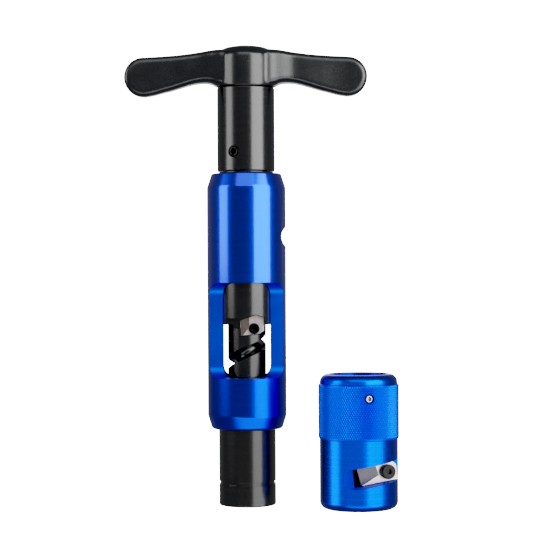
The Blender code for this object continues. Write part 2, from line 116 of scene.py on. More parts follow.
# The auger's blade as seen from the front, the gullet beside it and the face ground on it.
BLADE_OUTLINE = ((-0.0028, 0.0817), (0.0062, 0.0829), (0.0083, 0.0842), (0.0083, 0.0905), (0.0045, 0.0918),
                 (-0.0030, 0.0892))
BLADE_SEAT = 0.0062
BLADE_FACE = BLADE_SEAT + GAP + 0.0018
BLADE_SCREW_AT = (0.0036, 0.0852)
BLADE_HOLE_R = 0.0016
BLADE_GRIND_ANGLE = 14
BLADE_GRIND_TOP_X = 0.0012
BLADE_GRIND_OUTLINE = ((BLADE_GRIND_TOP_X, 0.0950), (BLADE_GRIND_TOP_X, 0.0857), (-0.0021, 0.0816),
                       (-0.0060, 0.0816), (-0.0060, 0.0950))
GULLET_OUTLINE = ((-0.0100, 0.0852), (-0.0032, 0.0852), (-0.0032, 0.0903, 0.0014), (-0.0100, 0.0903))
GULLET_SEAT = 0.0064
FRONT_CUTTER_END = 0.020

# Sleeve, with a knurl of truncated pyramids. The crest is half their top's width, as a share of their spacing.
KNURL_R = radius_of(SLEEVE_LOW, SLEEVE_HIGH)
SLEEVE_R = KNURL_R - 0.00055
SLEEVE_NECK_R = KNURL_R - 0.0007
KNURL_Z = (0.0332, 0.0593)
KNURL_POINTS = 2 * 106
KNURL_ROWS = 26
KNURL_DEPTH = 0.00027
KNURL_VALLEY_R = KNURL_R - KNURL_DEPTH
KNURL_CREST = 0.34
SLEEVE_BORE_R = 0.01075
SLEEVE_SOCKET_R = 0.0140
SLEEVE_SOCKET_FLOOR = SLEEVE_HIGH.z - 0.0220
SLEEVE_CUTTER_R = KNURL_R + 0.010

# The sleeve's slot on its slanted plane, the ramp at its end, and the blade with the face ground on it.
SLOT_FACING = -73
SLOT_SLANT = 8.5
SLOT_FLOOR = 0.0089
SLOT_Z = 0.0167
SLOT_WIDTH = 0.0096
SLOT_LOWEST_Z = 0.0060
RAMP_END = -0.0125
RAMP_FOOT = -0.00595
RAMP_ANGLE = 36
SLEEVE_BLADE_THICKNESS = 0.0016
SLEEVE_BLADE_SCREW_U = 0.0102
SLEEVE_BLADE_HOLE_R = 0.0023
SLEEVE_BLADE_OUTLINE = ((-0.0029, -0.0045), (0.0152, -0.0045), (0.0152, 0.0026), (0.0135, 0.0045),
                        (-0.0040, 0.0045))
GRIND_ANGLE = 9
GRIND_TOP_U = 0.0057
GRIND_CROSS_SHARE = 0.17
GRIND_OUTLINE = ((0.0050, 0.0060), (0.0059, -0.0010), (-0.0029, -0.0043), (-0.0070, -0.0043),
                 (-0.0070, 0.0060))

# The visual pieces on each body, filled in as they are made.
PIECES = {"housing": [], "drive": [], "sleeve": []}


# ---------------------------------------------------------------- mesh helpers

def add_object(name, mesh):
    obj = bpy.data.objects.new(name, mesh)
    bpy.context.scene.collection.objects.link(obj)
    return obj


def object_from(shape, name):
    mesh = bpy.data.meshes.new(name)
    shape.to_mesh(mesh)
    shape.free()
    return add_object(name, mesh)


def join_rows(shape, rows):
    """Faces between neighbouring rows of points, each row closed on itself."""
    for row, following in zip(rows, rows[1:]):
        for index in range(len(row)):
            after = (index + 1) % len(row)
            shape.faces.new((row[index], row[after], following[after], following[index]))


def rounded(corners, steps=ARC_STEPS):
    """The closed outline through corners (a, b) or (a, b, radius), with an arc at each that has a radius."""
    points = []
    for index, corner in enumerate(corners):
        here = Vector(corner[:2])
        if len(corner) == 2:
            points.append(here)
            continue
        radius = corner[2]
        to_last = (Vector(corners[index - 1][:2]) - here).normalized()
        to_next = (Vector(corners[(index + 1) % len(corners)][:2]) - here).normalized()
        half = to_last.angle(to_next) / 2
        centre = here + (to_last + to_next).normalized() * radius / math.sin(half)
        start = here + to_last * radius / math.tan(half) - centre
        end = here + to_next * radius / math.tan(half) - centre
        points += [centre + radius * start.slerp(end, step / steps) for step in range(steps + 1)]
    return points


def smooth_path(points, steps):
    """A smooth line through the points, with this many steps between neighbours."""
    points = [Vector(point) for point in points]
    path = []
    for index in range(len(points) - 1):
        p1, p2 = points[index], points[index + 1]
        p0 = points[index - 1] if index else p1 * 2 - p2
        p3 = points[index + 2] if index + 2 < len(points) else p2 * 2 - p1
        for step in range(steps):
            t = step / steps
            path.append(((p1 * 2) + (p2 - p0) * t + (p0 * 2 - p1 * 5 + p2 * 4 - p3) * t * t
                         + (p1 * 3 - p0 - p2 * 3 + p3) * t ** 3) / 2)
    return path + [points[-1]]


def lathe(name, profile, centre, segments=SEGMENTS, start=0.0):
    """A closed turned solid. The profile (radius, z) is a closed outline, or starts and ends on the axis."""
    shape = bmesh.new()
    rings = []
    for step in range(segments):
        angle = start + math.tau * step / segments
        rings.append([shape.verts.new((centre.x + r * math.cos(angle), centre.y + r * math.sin(angle), z))
                      for r, z in profile])
    count = len(profile)
    for ring, following in zip(rings, rings[1:] + rings[:1]):
        for index in range(count):
            after = (index + 1) % count
            if profile[index][0] or profile[after][0]:
                shape.faces.new((ring[index], ring[after], following[after], following[index]))
    bmesh.ops.remove_doubles(shape, verts=shape.verts, dist=TINY / 10)
    bmesh.ops.recalc_face_normals(shape, faces=shape.faces)
    return object_from(shape, name)


def prism(name, outline, low, high, place, slope=(0, 0)):
    """A flat outline in the place's first two directions, from low to high along its third.

    The slope tilts its lower end along the first two directions.
    """
    shape = bmesh.new()
    bottom = [shape.verts.new((u, v, low + slope[0] * u + slope[1] * v)) for u, v in outline]
    top = [shape.verts.new((u, v, high)) for u, v in outline]
    shape.faces.new(bottom)
    shape.faces.new(top)
    join_rows(shape, (bottom, top))
    bmesh.ops.recalc_face_normals(shape, faces=shape.faces)
    solid = object_from(shape, name)
    solid.data.transform(place)
    return solid


def circle(radius, segments, centre=(0, 0)):
    angles = [math.tau * step / segments for step in range(segments)]
    return [(centre[0] + radius * math.cos(angle), centre[1] + radius * math.sin(angle)) for angle in angles]


def evaluated_mesh(obj):
    bpy.context.view_layer.update()
    graph = bpy.context.evaluated_depsgraph_get()
    return bpy.data.meshes.new_from_object(obj.evaluated_get(graph))


def apply_modifiers(obj):
    mesh = evaluated_mesh(obj)
    obj.modifiers.clear()
    obj.data = mesh


def carve(obj, cutters):
    """Cuts the cutters from a piece and removes them."""
    for cutter in cutters:
        modifier = obj.modifiers.new(cutter.name, "BOOLEAN")
        modifier.operation = "DIFFERENCE"
        modifier.object = cutter
    apply_modifiers(obj)
    for cutter in cutters:
        bpy.data.objects.remove(cutter)
    shape = bmesh.new()
    shape.from_mesh(obj.data)
    bmesh.ops.remove_doubles(shape, verts=shape.verts, dist=TINY)
    bmesh.ops.dissolve_degenerate(shape, edges=shape.edges, dist=TINY)
    shape.to_mesh(obj.data)
    shape.free()


def break_edges(obj, width, angle=38):
    """Rounds the edges of a piece that are sharper than the angle."""
    bevel = obj.modifiers.new("edges", "BEVEL")
    bevel.width = width
    bevel.segments = 2
    bevel.limit_method = "ANGLE"
    bevel.angle_limit = math.radians(angle)
    bevel.use_clamp_overlap = True
    bevel.loop_slide = True
    apply_modifiers(obj)


def shade(obj, angle=32):
    """Smooth shading up to an angle. The narrow faces at the edges take their normals from the wide ones."""
    obj.data.shade_smooth()
    obj.data.set_sharp_from_angle(angle=math.radians(angle))
    weighted = obj.modifiers.new("normals", "WEIGHTED_NORMAL")
    weighted.keep_sharp = True
    apply_modifiers(obj)


def settle(obj, body, nodes, material):
    """Gives a finished piece its material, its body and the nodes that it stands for."""
    obj.data.materials.clear()
    obj.data.materials.append(material)
    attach(obj, body)
    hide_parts(*nodes)
    PIECES[body].append(obj)


def paint_faces(obj, material, chosen):
    """Gives one more material to the faces that the test picks by their middle and direction."""
    obj.data.materials.append(material)
    for face in obj.data.polygons:
        if chosen(face.center, face.normal):
            face.material_index = len(obj.data.materials) - 1


def from_axis(point, centre):
    return math.hypot(point.x - centre.x, point.y - centre.y)


# ---------------------------------------------------------------- frames

def at(centre, z=0.0):
    return Matrix.Translation((centre.x, centre.y, z))


def outward(centre, angle, z):
    """At height z on the axis, with the third direction pointing out at this angle."""
    turn = Matrix.Rotation(math.radians(angle), 4, "Z")
    return at(centre, z) @ turn @ Matrix.Rotation(math.pi / 2, 4, "Y")


FACING_FRONT = Matrix.Rotation(math.pi / 2, 4, "X")


def slot_frame():
    """The sleeve's slot: along it, across it and out of it."""
    turn = Matrix.Rotation(math.radians(SLOT_FACING + 90), 4, "Z")
    slant = Matrix.Rotation(math.radians(SLOT_SLANT), 4, "Z")
    return at(SLEEVE, SLOT_Z) @ turn @ FACING_FRONT @ slant


# ---------------------------------------------------------------- materials

class Nodes:
    """A short way to build a node tree: each call adds a node and returns it."""

    def __init__(self, name):
        self.material = bpy.data.materials.new(name)
        self.material.use_nodes = True
        self.tree = self.material.node_tree
        self.shader = self.tree.nodes["Principled BSDF"]

    def add(self, kind, settings=(), **inputs):
        node = self.tree.nodes.new(kind)
        for key, value in dict(settings).items():
            setattr(node, key, value)
        for key, value in inputs.items():
            self.feed(node.inputs[key.replace("_", " ")], value)
        return node

    def feed(self, socket, value):
        if isinstance(value, bpy.types.NodeSocket):
            self.tree.links.new(value, socket)
        else:
            socket.default_value = value

    def math(self, operation, a, b=0.0):
        node = self.tree.nodes.new("ShaderNodeMath")
        node.operation = operation
        self.feed(node.inputs[0], a)
        self.feed(node.inputs[1], b)
        return node.outputs[0]

    def around(self, centre):
        """Distance from the axis plus height: it runs along the surface of any turned piece."""
        place = self.add("ShaderNodeTexCoord").outputs["Object"]
        shift = self.tree.nodes.new("ShaderNodeVectorMath")
        shift.operation = "SUBTRACT"
        self.feed(shift.inputs[0], place)
        shift.inputs[1].default_value = (centre.x, centre.y, 0)
        parts = self.add("ShaderNodeSeparateXYZ", Vector=shift.outputs[0])
        square_x = self.math("MULTIPLY", parts.outputs["X"], parts.outputs["X"])
        square_y = self.math("MULTIPLY", parts.outputs["Y"], parts.outputs["Y"])
        distance = self.math("SQRT", self.math("ADD", square_x, square_y))
        return self.math("ADD", distance, parts.outputs["Z"])

    def noise(self, scale, detail=2.0, roughness=0.5, vector=None, w=None):
        settings = {"noise_dimensions": "1D"} if w is not None else {"noise_dimensions": "3D"}
        node = self.add("ShaderNodeTexNoise", settings, Scale=scale, Detail=detail, Roughness=roughness)
        if w is not None:
            self.feed(node.inputs["W"], w)
        else:
            place = vector or self.add("ShaderNodeTexCoord").outputs["Object"]
            self.feed(node.inputs["Vector"], place)
        return node.outputs["Fac"]

    def ramp(self, value, stops):
        node = self.tree.nodes.new("ShaderNodeValToRGB")
        self.feed(node.inputs["Fac"], value)
        while len(node.color_ramp.elements) < len(stops):
            node.color_ramp.elements.new(0.5)
        for element, (place, colour) in zip(node.color_ramp.elements, stops):
            element.position = place
            element.color = (*colour, 1)
        return node.outputs["Color"]

    def spread(self, value, low, high, to_low, to_high):
        node = self.add("ShaderNodeMapRange")
        self.feed(node.inputs["Value"], value)
        for key, number in (("From Min", low), ("From Max", high), ("To Min", to_low), ("To Max", to_high)):
            node.inputs[key].default_value = number
        return node.outputs["Result"]

    def bump(self, height, strength, distance, under=None):
        node = self.add("ShaderNodeBump", Strength=strength, Distance=distance)
        self.feed(node.inputs["Height"], height)
        if under is not None:
            self.feed(node.inputs["Normal"], under)
        return node.outputs["Normal"]

    def set(self, **inputs):
        for key, value in inputs.items():
            self.feed(self.shader.inputs[key.replace("_", " ")], value)
        return self.material


def turned_metal(name, centre, dark, light, metallic, roughness, relief, coat=0.0, ior=1.5,
                 dull_below=None):
    """Metal turned on a lathe: fine rings run round it, and colour and gloss vary a little between them.

    Below the height dull_below, the finish has hardly any of its clear coat.
    """
    nodes = Nodes(name)
    along = nodes.around(centre)
    fine = nodes.noise(6500.0, 2.0, 0.6, w=along)
    broad = nodes.noise(620.0, 3.0, 0.6, w=along)
    patches = nodes.noise(700.0, 3.0, 0.6)
    mixed = nodes.math("ADD", nodes.math("MULTIPLY", broad, 0.55), nodes.math("MULTIPLY", patches, 0.45))
    colour = nodes.ramp(mixed, [(0.34, dark), (0.66, light)])
    gloss = nodes.spread(mixed, 0.3, 0.7, roughness * 0.94, roughness * 1.06)
    normal = nodes.bump(fine, 0.12, relief)
    normal = nodes.bump(patches, 0.05, relief, under=normal)
    if dull_below is not None:
        height = nodes.add("ShaderNodeTexCoord").outputs["Object"]
        height = nodes.add("ShaderNodeSeparateXYZ", Vector=height).outputs["Z"]
        coat = nodes.spread(height, dull_below, dull_below + 0.03, coat * 0.1, coat)
    return nodes.set(Base_Color=colour, Metallic=metallic, Roughness=gloss, Normal=normal, Coat_Weight=coat,
                     Coat_Roughness=0.11, IOR=ior)


def fine_metal(name, dark, light, metallic, roughness, grain=1500.0, relief=0.000006, stretch=(1, 1, 1),
               ior=1.5):
    """Metal without turning marks: blasted, milled, ground or coated, with a fine grain.

    A stretch above 1 makes the grain finer along that direction, so that it runs across it.
    """
    nodes = Nodes(name)
    place = nodes.add("ShaderNodeTexCoord").outputs["Object"]
    mapping = nodes.add("ShaderNodeMapping", Scale=stretch)
    nodes.feed(mapping.inputs["Vector"], place)
    speckle = nodes.noise(grain, 3.0, 0.6, vector=mapping.outputs["Vector"])
    smudge = nodes.noise(grain / 14, 2.0, 0.5)
    mixed = nodes.math("ADD", nodes.math("MULTIPLY", speckle, 0.5), nodes.math("MULTIPLY", smudge, 0.5))
    colour = nodes.ramp(mixed, [(0.35, dark), (0.65, light)])
    gloss = nodes.spread(mixed, 0.3, 0.7, roughness * 0.85, roughness * 1.15)
    normal = nodes.bump(speckle, 0.4, relief)
    return nodes.set(Base_Color=colour, Metallic=metallic, Roughness=gloss, Normal=normal, IOR=ior)


BLUE_DARK, BLUE_LIGHT = (0.0012, 0.070, 0.64), (0.0018, 0.078, 0.70)
SLEEVE_BLUE_DARK, SLEEVE_BLUE_LIGHT = (0.0012, 0.086, 0.68), (0.0018, 0.095, 0.74)
BLACK_DARK, BLACK_LIGHT = (0.0016, 0.0017, 0.0020), (0.0038, 0.0040, 0.0044)
TOOL_BLUE = turned_metal("blue_anodised_tool", TOOL, BLUE_DARK, BLUE_LIGHT, 1.0, 0.25, 0.000004, coat=0.75,
                         ior=1.6, dull_below=WINDOW_Z[0])
SLEEVE_BLUE = turned_metal("blue_anodised_sleeve", SLEEVE, SLEEVE_BLUE_DARK, SLEEVE_BLUE_LIGHT, 1.0, 0.27,
                           0.0000015, coat=0.04)
SLOT_BLUE = fine_metal("blue_anodised_slot", SLEEVE_BLUE_DARK, SLEEVE_BLUE_LIGHT, 1.0, 0.60)
KNURL_BLUE = turned_metal("blue_anodised_knurl", SLEEVE, SLEEVE_BLUE_DARK, SLEEVE_BLUE_LIGHT, 1.0, 0.36,
                          0.000003, coat=0.08)
# The sleeve's bore is painted near-black blue: painted shade inside it.
BORE_PAINTED_SHADE_BLUE = fine_metal("blue_anodised_bore_painted_shade", (0.0004, 0.006, 0.045), (0.0006, 0.009, 0.065), 1.0, 0.35)
# The windows' milled cheeks: a milled grain, and a colour painted lighter than the turned blue as painted
# sheen.
MILLED_BLUE_PAINTED_SHEEN = fine_metal("blue_anodised_milled_painted_sheen", (0.0014, 0.100, 0.74), (0.0022, 0.115, 0.82), 1.0, 0.36,
                         grain=1100.0, stretch=(1, 1, 5))
TOOL_BLACK = turned_metal("black_oxide", TOOL, BLACK_DARK, BLACK_LIGHT, 0.0, 0.22, 0.000004, ior=1.62)
HANDLE_BLACK = fine_metal("black_coating", (0.0018, 0.0024, 0.0032), (0.0036, 0.0045, 0.0056), 0.0, 0.25,
                          relief=0.000004, ior=1.60)
BLADE_STEEL = fine_metal("blade_steel", (0.34, 0.31, 0.285), (0.44, 0.405, 0.38), 1.0, 0.38, grain=900.0,
                         stretch=(1, 1, 6))
# The auger's blade: steel painted brighter than bare steel, as a painted reflection.
AUGER_BLADE_STEEL_PAINTED_REFLECTION = fine_metal("auger_blade_steel_painted_reflection", (0.60, 0.54, 0.54), (0.80, 0.73, 0.73), 1.0, 0.36,
                               grain=900.0, stretch=(1, 1, 6))
# The face ground on the auger's blade: painted darker than the blade as painted shade, with a brownish tint.
AUGER_GRIND_STEEL_PAINTED_SHADE = fine_metal("auger_ground_steel", (0.30, 0.23, 0.205), (0.44, 0.35, 0.31), 1.0, 0.32,
                                grain=900.0, stretch=(7, 1, 1))
# The face ground on the sleeve's blade: steel painted much darker than the blade, as painted shade.
SLEEVE_GRIND_STEEL_PAINTED_SHADE = fine_metal("ground_steel", (0.085, 0.085, 0.10), (0.16, 0.155, 0.17), 1.0, 0.30,
                          grain=900.0, stretch=(7, 1, 1))
SCREW_BLACK = fine_metal("black_screw", (0.0008, 0.0008, 0.0008), (0.0022, 0.0022, 0.0022), 0.0, 0.26,
                         ior=1.30)
STEEL = fine_metal("bright_steel", (0.30, 0.30, 0.32), (0.45, 0.45, 0.47), 1.0, 0.30)
BRONZE = turned_metal("bronze", TOOL, (0.40, 0.22, 0.08), (0.62, 0.40, 0.17), 1.0, 0.36, 0.000004)


# ---------------------------------------------------------------- tool

def make_housing():
    low, high = HOUSING_LOW.z, HOUSING_HIGH.z
    corners = [(HOUSING_TOP_FACE_R, high, 0.0010), (HOUSING_R, high - HOUSING_TOP_TAPER, 0.0040),
               (HOUSING_R, low + HOUSING_BASE_TAPER, 0.0040), (HOUSING_BASE_FACE_R, low, 0.0018),
               (HOUSING_TUBE_BORE_R, low, 0.0004), (HOUSING_TUBE_BORE_R, TUBE_HIGH.z + GAP),
               (HOUSING_BORE_R, TUBE_HIGH.z + GAP), (HOUSING_BORE_R, high, 0.0004)]
    housing = lathe("housing_body", rounded(corners), TOOL)
    reach = HOUSING_CUTTER_R
    window = rounded([(reach, WINDOW_Z[0]), (reach, WINDOW_Z[1]), (WINDOW_FLOOR_Y, WINDOW_Z[1], WINDOW_END_R),
                      (WINDOW_FLOOR_Y, WINDOW_Z[0], WINDOW_END_R)], steps=18)
    cutters = []
    for number, angle in enumerate((-90, 90)):
        turn = at(TOOL) @ Matrix.Rotation(math.radians(angle), 4, "Z") @ FACING_FRONT
        cutters.append(prism(f"window_{number}", window, -reach, reach, turn))
    cutters.append(prism("notch", circle(NOTCH_R, 96, NOTCH_AT), -reach, reach, at(TOOL) @ FACING_FRONT))
    for number in (1, 2):
        cutters.append(screw_hole(f"tube_set_screw_{number}"))
    carve(housing, cutters)
    break_edges(housing, 0.00032)
    shade(housing)
    settle(housing, "housing", ["housing"], TOOL_BLUE)
    # Painted sheen: the milled cheeks of the windows get the lighter blue.
    paint_faces(housing, MILLED_BLUE_PAINTED_SHEEN, lambda middle, _: WINDOW_Z[0] - 0.0005 < middle.z < WINDOW_Z[1] + 0.0005
                and HOUSING_BORE_R + 0.0005 < from_axis(middle, TOOL) < HOUSING_R - 0.0004)


def make_guide_tube():
    low, high = GROOVE_Z
    edge = 0.0007
    groove_r = TUBE_R - GROOVE_DEPTH
    profile = rounded([(TUBE_R, TUBE_HIGH.z, edge), (TUBE_R, high, 0.0001), (groove_r, high, 0.0002),
                       (groove_r, low, 0.0002), (TUBE_R, low, 0.0001), (TUBE_R, 0, edge),
                       (TUBE_BORE_R, 0, edge), (TUBE_BORE_R, TUBE_HIGH.z, 0.0003)], steps=3)
    tube = lathe("guide_tube_body", profile, TOOL)
    shade(tube)
    settle(tube, "housing", ["guide_tube"], TOOL_BLACK)


def make_upper_washer():
    outer, bore, edge = radius_of(WASHER_LOW, WASHER_HIGH), JOURNAL_R + GAP, 0.0001
    profile = rounded([(outer, WASHER_HIGH.z, edge), (outer, WASHER_LOW.z, edge), (bore, WASHER_LOW.z),
                       (bore, WASHER_HIGH.z)], steps=2)
    washer = lathe("collar_washer", profile, TOOL)
    shade(washer)
    settle(washer, "drive", ["thrust_washer_upper"], TOOL_BLACK)


def make_collar():
    edge = 0.00035
    bore = JOURNAL_R + GAP
    floor = SPINDLE_HIGH.z + GAP
    low, high = COLLAR_LOW.z, COLLAR_HIGH.z
    profile = rounded([(COLLAR_R, high, edge), (COLLAR_R, low, edge), (bore, low, edge), (bore, floor),
                       (STUD_BORE_R, floor), (STUD_BORE_R, high, edge)], steps=3)
    collar = lathe("collar_body", profile, TOOL)
    carve(collar, [screw_hole(f"collar_set_screw_{number}") for number in (1, 2)])
    break_edges(collar, 0.00018)
    shade(collar)
    settle(collar, "drive", ["drive_collar"], TOOL_BLACK)


def flute_bar():
    """A round bar along the auger's helix, to cut the flute with."""
    first, last = FLUTE_TURNS
    section = circle(FLUTE_R, 28, (FLUTE_CENTRE_R, 0))
    count = round((last - first) * FLUTE_STEPS_PER_TURN)
    shape = bmesh.new()
    rows = []
    for index in range(count + 1):
        turn = first + (last - first) * index / count
        angle = math.tau * (turn - 0.25)
        middle = FLUTE_FRONT_Z + FLUTE_PITCH * turn
        rows.append([shape.verts.new((TOOL.x + r * math.cos(angle), TOOL.y + r * math.sin(angle), middle + z))
                     for r, z in section])
    join_rows(shape, rows)
    shape.faces.new(rows[0])
    shape.faces.new(rows[-1])
    bmesh.ops.recalc_face_normals(shape, faces=shape.faces)
    return object_from(shape, "flute")


def grown_sides(points, amount):
    """The sides of a convex outline moved out by this amount, each as its start and its direction."""
    sides = []
    for index, point in enumerate(points):
        along = (points[(index + 1) % len(points)] - point).normalized()
        sides.append((point + Vector((along.y, -along.x)) * amount, along))
    return sides


def grown(outline, amount):
    """A convex outline with each side moved out by this amount."""
    sides = grown_sides([Vector(point) for point in outline], amount)
    corners = []
    for (start, along), (last_start, last_along) in zip(sides, [sides[-1]] + sides[:-1]):
        across = Vector((-last_along.y, last_along.x))
        corners.append(start + along * across.dot(last_start - start) / across.dot(along))
    return corners


def make_spindle():
    low, high = SHOULDER_Z
    tip, top = SPINDLE_LOW.z, SPINDLE_HIGH.z
    edge = 0.0004
    profile = rounded([(0, top), (JOURNAL_R, top, edge), (JOURNAL_R, high), (SHOULDER_R, high, edge),
                       (SHOULDER_R, low, 0.0003), (AUGER_R, low, 0.0004), (AUGER_R, tip, edge),
                       (CORE_R, tip, edge), (CORE_R, CORE_TOP_Z), (0, CORE_TOP_Z + CORE_R / 2)], steps=3)
    spindle = lathe("spindle_body", profile, TOOL, segments=144, start=0.01)
    front = at(TOOL) @ FACING_FRONT
    flute = flute_bar()
    pocket = prism("blade_pocket", grown(BLADE_OUTLINE, GAP), BLADE_SEAT, FRONT_CUTTER_END, front)
    gullet = prism("blade_gullet", rounded(GULLET_OUTLINE), GULLET_SEAT, FRONT_CUTTER_END, front)
    hole = prism("blade_screw_hole", circle(BLADE_HOLE_R, 32, BLADE_SCREW_AT), 0.0033, 0.0090, front)
    carve(spindle, [flute, pocket, gullet, hole])
    break_edges(spindle, 0.00014, angle=42)
    shade(spindle, 40)
    settle(spindle, "drive", ["spindle"], TOOL_BLACK)


# ---------------------------------------------------------------- screws

# Each screw's axis, angle around it, height, radius, and reach from the axis.
SET_SCREWS = {
    "collar_set_screw_1": (TOOL, -115, 0.1700, 0.0025, (0.0096, 0.0134)),
    "collar_set_screw_2": (TOOL, 65, 0.1700, 0.0025, (0.0096, 0.0134)),
    "tube_set_screw_1": (TOOL, 45, 0.0480, 0.0020, (0.0140, 0.0182)),
    "tube_set_screw_2": (TOOL, 135, 0.0480, 0.0020, (0.0140, 0.0182)),
    "sleeve_set_screw_1": (SLEEVE, -77, 0.0530, 0.0020, (0.0143, 0.0184)),
    "sleeve_set_screw_2": (SLEEVE, 103, 0.0530, 0.0020, (0.0143, 0.0184)),
}
SCREW_BODIES = {"collar": "drive", "tube": "housing", "sleeve": "sleeve"}


def screw_hole(name):
    centre, angle, z, radius, (low, high) = SET_SCREWS[name]
    outline = circle(radius + GAP, SCREW_SEGMENTS)
    return prism(name + "_hole", outline, low - 0.0006, high + 0.003, outward(centre, angle, z))


def make_set_screws():
    """Headless screws with a hexagonal socket and a rounded rim. The sleeve's are bright and slimmer."""
    for name, (centre, angle, z, radius, (low, high)) in SET_SCREWS.items():
        bright = name.startswith("sleeve")
        rim_r = radius - GAP if bright else radius
        profile = rounded([(0, high), (rim_r, high, 0.0004), (rim_r, low, 0.0005), (0, low)], steps=3)
        screw = lathe(name + "_body", profile, Vector((0, 0, 0)), segments=SCREW_SEGMENTS)
        place = outward(centre, angle, z)
        screw.data.transform(place)
        depth = high - 0.6 * (high - low)
        carve(screw, [prism("hex", circle(radius / math.sqrt(3), 6), depth, high + 0.001, place)])
        break_edges(screw, 0.00008)
        shade(screw)
        slot, material = ("steel", STEEL) if bright else ("black_screw", SCREW_BLACK)
        settle(screw, SCREW_BODIES[name.split("_")[0]], [name], material)


def cap_screw(node, body, shank_r, tip, head_r, seat, head, place):
    """A screw with a round head and a hexagonal socket, standing out along the place's third direction.

    Its tip and its head's seat are heights along that direction.
    """
    top = seat + head
    profile = rounded([(0, top), (head_r, top, head * 0.22), (head_r, seat, head * 0.06), (shank_r, seat),
                       (shank_r, tip, shank_r * 0.3), (0, tip)], steps=4)
    screw = lathe(node + "_body", profile, Vector((0, 0, 0)), segments=HEAD_SEGMENTS)
    screw.data.transform(place)
    hexagon = circle(head_r * 0.72 / math.sqrt(3), 6)
    carve(screw, [prism("hex", hexagon, top - 0.6 * head, top + 0.001, place)])
    break_edges(screw, 0.00010)
    shade(screw)
    settle(screw, body, [node], SCREW_BLACK)


# ---------------------------------------------------------------- blades

def make_stripping_blade():
    front = at(TOOL) @ FACING_FRONT
    blade = prism("stripping_blade_body", BLADE_OUTLINE, BLADE_SEAT + GAP, BLADE_FACE, front)
    hole = prism("hole", circle(BLADE_HOLE_R, 40, BLADE_SCREW_AT), BLADE_SEAT, BLADE_FACE + 0.001, front)
    across = math.tan(math.radians(BLADE_GRIND_ANGLE))
    grind = prism("grind", BLADE_GRIND_OUTLINE, BLADE_FACE - across * BLADE_GRIND_TOP_X, BLADE_FACE + 0.001,
                  front, slope=(across, 0))
    carve(blade, [hole, grind])
    break_edges(blade, 0.00010)
    shade(blade, 4)
    # The blade's colour is painted brighter than steel, as a painted reflection.
    settle(blade, "drive", ["stripping_blade"], AUGER_BLADE_STEEL_PAINTED_REFLECTION)
    # Painted shade: the ground face of the blade gets the darker steel.
    paint_faces(blade, AUGER_GRIND_STEEL_PAINTED_SHADE, lambda _, normal: 0.2 < -normal.x < 0.3 and normal.y < -0.9)
    place = front @ Matrix.Translation((*BLADE_SCREW_AT, 0))
    cap_screw("blade_screw", "drive", 0.0013, 0.0036, 0.0026, BLADE_FACE + GAP, 0.0011, place)


def make_sleeve_blade():
    place = slot_frame()
    seat = SLOT_FLOOR + GAP
    face = seat + SLEEVE_BLADE_THICKNESS
    blade = prism("sleeve_blade_body", SLEEVE_BLADE_OUTLINE, seat, face, place)
    hole = prism("hole", circle(SLEEVE_BLADE_HOLE_R, 40, (SLEEVE_BLADE_SCREW_U, 0)), seat - 0.001,
                 face + 0.001, place)
    rise = math.tan(math.radians(GRIND_ANGLE))
    cross_rise = rise * GRIND_CROSS_SHARE
    grind = prism("grind", GRIND_OUTLINE, face - rise * GRIND_TOP_U, face + 0.001, place,
                  slope=(rise, cross_rise))
    carve(blade, [hole, grind])
    break_edges(blade, 0.00010)
    shade(blade, 4)
    settle(blade, "sleeve", ["sleeve_blade"], BLADE_STEEL)
    out = place.to_3x3() @ Vector((0, 0, 1))
    ground = place.to_3x3() @ Vector((-rise, -cross_rise, 1)).normalized()
    # Painted shade: the ground face of the sleeve's blade gets the dark steel.
    paint_faces(blade, SLEEVE_GRIND_STEEL_PAINTED_SHADE,
                lambda _, normal: normal.dot(ground) > 0.9995 and normal.dot(out) < 0.9995)
    screw_place = place @ Matrix.Translation((SLEEVE_BLADE_SCREW_U, 0, 0))
    cap_screw("sleeve_blade_screw", "sleeve", 0.0020, SLOT_FLOOR - 0.0009, 0.00345, face + GAP, 0.0026,
              screw_place)


# ---------------------------------------------------------------- handle

TIP_R = 0.00950
TIP_Z = HANDLE_HIGH.z - 0.01495
EDGE_R = 0.0025
HUB_BASE_Z = COLLAR_HIGH.z + GAP

# Half the arms' thickness at their ends, and at each distance from the axis.
ARM_END_THICKNESS = 0.0050
ARM_THICKNESS = ((0.0000, 0.0100), (0.0110, 0.0096), (0.0140, 0.0088), (0.0180, 0.0079), (0.0220, 0.0070),
                 (0.0250, 0.0066), (0.0300, 0.0063), (0.0360, 0.0058), (0.0420, 0.0053), (0.0480, 0.0050),
                 (0.0540, 0.0050), (0.0640, 0.0050))

# The fillets between the hub and the arms: their place, half their width, and the distances in front of and
# behind the axis where they start and where they are full.
FILLET_X = 0.0123
FILLET_HALF_WIDTH = 0.0055
FILLET_DEPTH = (0.0030, 0.0055)


